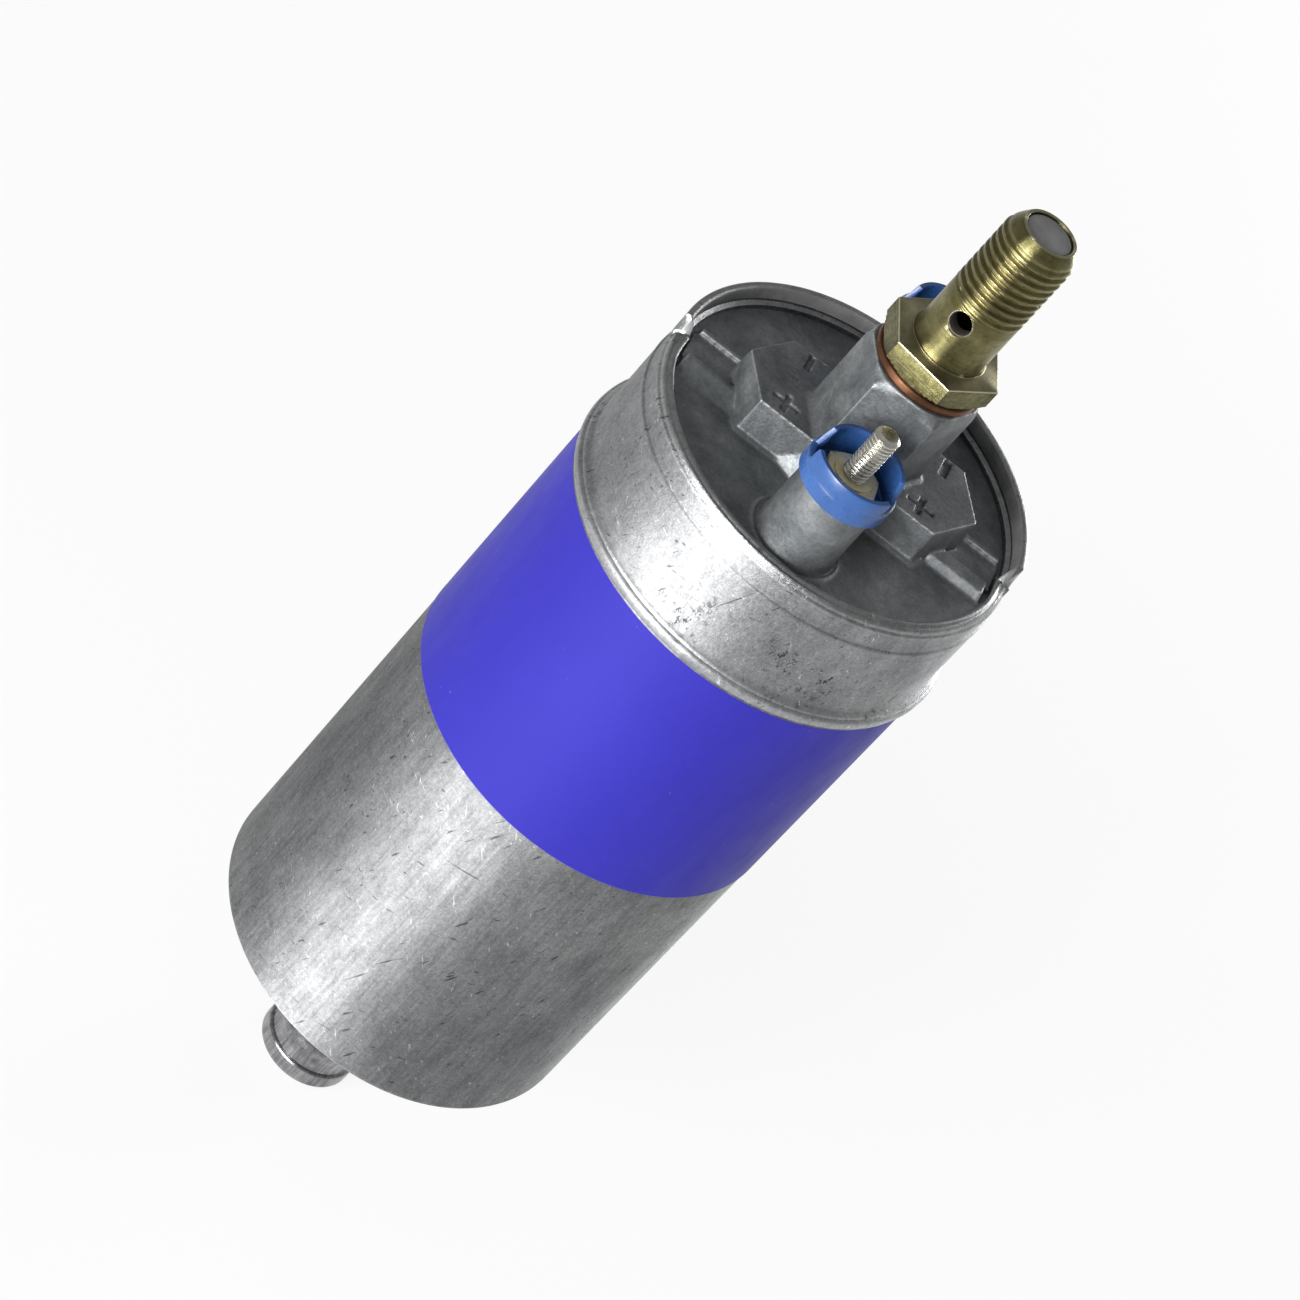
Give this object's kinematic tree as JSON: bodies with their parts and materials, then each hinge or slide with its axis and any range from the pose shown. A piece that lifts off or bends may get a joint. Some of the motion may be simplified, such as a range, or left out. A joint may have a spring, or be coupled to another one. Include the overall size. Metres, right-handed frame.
{
  "type": "fuel pump",
  "caption": "Inline electric roller-cell fuel pump in a round aluminium can, with a crimped die-cast cover, stud terminals, a cross-drilled banjo outlet and a turned inlet nipple.",
  "frame": {"origin": "on the pump axis, in the middle of the bare clamping length of the can", "axes": "+Z along the pump axis towards the outlet; -Y is the side of the smaller terminal stud, which is turned about 7 degrees towards +X"},
  "size_m": [0.065, 0.065, 0.2082],
  "materials": {
    "can_aluminium": "drawn, bare, lightly scuffed",
    "label_blue": "satin film",
    "turned_steel": "turned and polished",
    "steel": "ground",
    "inner_aluminium": "machined",
    "rubber": "matt",
    "strainer_mesh": "perforated",
    "brass": "plain",
    "pale_plastic": "moulded",
    "bearing_bronze": "sintered",
    "ferrite": "ground ferrite",
    "winding_copper": "copper",
    "black_plastic": "moulded",
    "carbon": "pressed carbon",
    "die_cast": "die cast",
    "stud_steel": "bright plated thread",
    "blue_plastic": "moulded, slightly translucent",
    "copper": "copper",
    "yellow_zinc": "yellow zinc plated",
    "grey_plug": "matt"
  },
  "bodies": {
    "housing": {"casing": "can_aluminium", "label_sleeve": "label_blue", "inlet_nipple": "turned_steel", "inlet_seal": "rubber", "inlet_strainer": "strainer_mesh", "intake_plate": "inner_aluminium", "cam_ring": "steel", "pressure_plate": "inner_aluminium", "pump_screws": "steel", "rotor_pin": "steel", "relief_seat": "brass", "relief_spring": "steel", "relief_retainer": "steel", "front_bushing": "bearing_bronze", "flux_ring": "steel", "field_magnet_a": "ferrite", "field_magnet_b": "ferrite", "magnet_clips": "steel", "rear_bushing": "bearing_bronze", "brush_carrier": "black_plastic", "brush_spring_pos": "steel", "brush_spring_neg": "steel", "terminal_straps": "brass", "end_cover": "die_cast", "cover_seal_ring": "rubber", "terminal_bushes": "pale_plastic", "terminal_seals": "rubber", "terminal_stud_near": "stud_steel", "terminal_stud_far": "stud_steel", "terminal_washers": "brass", "terminal_nuts": "brass", "terminal_cup_near": "blue_plastic", "terminal_cup_far": "blue_plastic", "copper_seal_ring": "copper", "outlet_fitting": "yellow_zinc", "check_seat": "rubber", "check_spring": "steel", "outlet_plug": "grey_plug"},
    "armature": {"pump_rotor": "steel", "drive_coupling": "pale_plastic", "armature_shaft": "steel", "lamination_stack": "steel", "armature_windings": "winding_copper", "commutator": "winding_copper", "thrust_washer": "pale_plastic"},
    "roller_1": {"pump_roller_1": "steel"},
    "roller_2": {"pump_roller_2": "steel"},
    "roller_3": {"pump_roller_3": "steel"},
    "roller_4": {"pump_roller_4": "steel"},
    "roller_5": {"pump_roller_5": "steel"},
    "brush_pos": {"brush_pos": "carbon"},
    "brush_neg": {"brush_neg": "carbon"},
    "check_piston": {"check_piston": "pale_plastic"},
    "relief_plunger": {"relief_plunger": "steel"}
  },
  "joints": [
    {"name": "armature_spin", "type": "hinge", "parent": "housing", "child": "armature", "pos_m": [0, 0, 0], "axis": [0, 0, 1], "continuous": true},
    {"name": "roller_1_slide", "type": "slide", "parent": "armature", "child": "roller_1", "axis": [0, 1, 0], "range_m": [0, 0.001]},
    {"name": "roller_2_slide", "type": "slide", "parent": "armature", "child": "roller_2", "axis": [-0.9511, 0.309, 0], "range_m": [0, 0.001]},
    {"name": "roller_3_slide", "type": "slide", "parent": "armature", "child": "roller_3", "axis": [-0.5878, -0.809, 0], "range_m": [0, 0.001]},
    {"name": "roller_4_slide", "type": "slide", "parent": "armature", "child": "roller_4", "axis": [0.5878, -0.809, 0], "range_m": [0, 0.001]},
    {"name": "roller_5_slide", "type": "slide", "parent": "armature", "child": "roller_5", "axis": [0.9511, 0.309, 0], "range_m": [0, 0.001]},
    {"name": "brush_pos_slide", "type": "slide", "parent": "housing", "child": "brush_pos", "axis": [0, 0, 1], "range_m": [0, 0.002], "stiffness_N_per_m": 400, "springref_m": -0.012, "deforming": ["brush_spring_pos"]},
    {"name": "brush_neg_slide", "type": "slide", "parent": "housing", "child": "brush_neg", "axis": [0, 0, 1], "range_m": [0, 0.002], "stiffness_N_per_m": 400, "springref_m": -0.012, "deforming": ["brush_spring_neg"]},
    {"name": "check_valve_slide", "type": "slide", "parent": "housing", "child": "check_piston", "axis": [0, 0, 1], "range_m": [0, 0.002], "stiffness_N_per_m": 250, "springref_m": -0.006, "deforming": ["check_spring"]},
    {"name": "relief_valve_slide", "type": "slide", "parent": "housing", "child": "relief_plunger", "axis": [0, 0, -1], "range_m": [0, 0.0015], "stiffness_N_per_m": 2000, "springref_m": -0.003, "deforming": ["relief_spring"]}
  ]
}
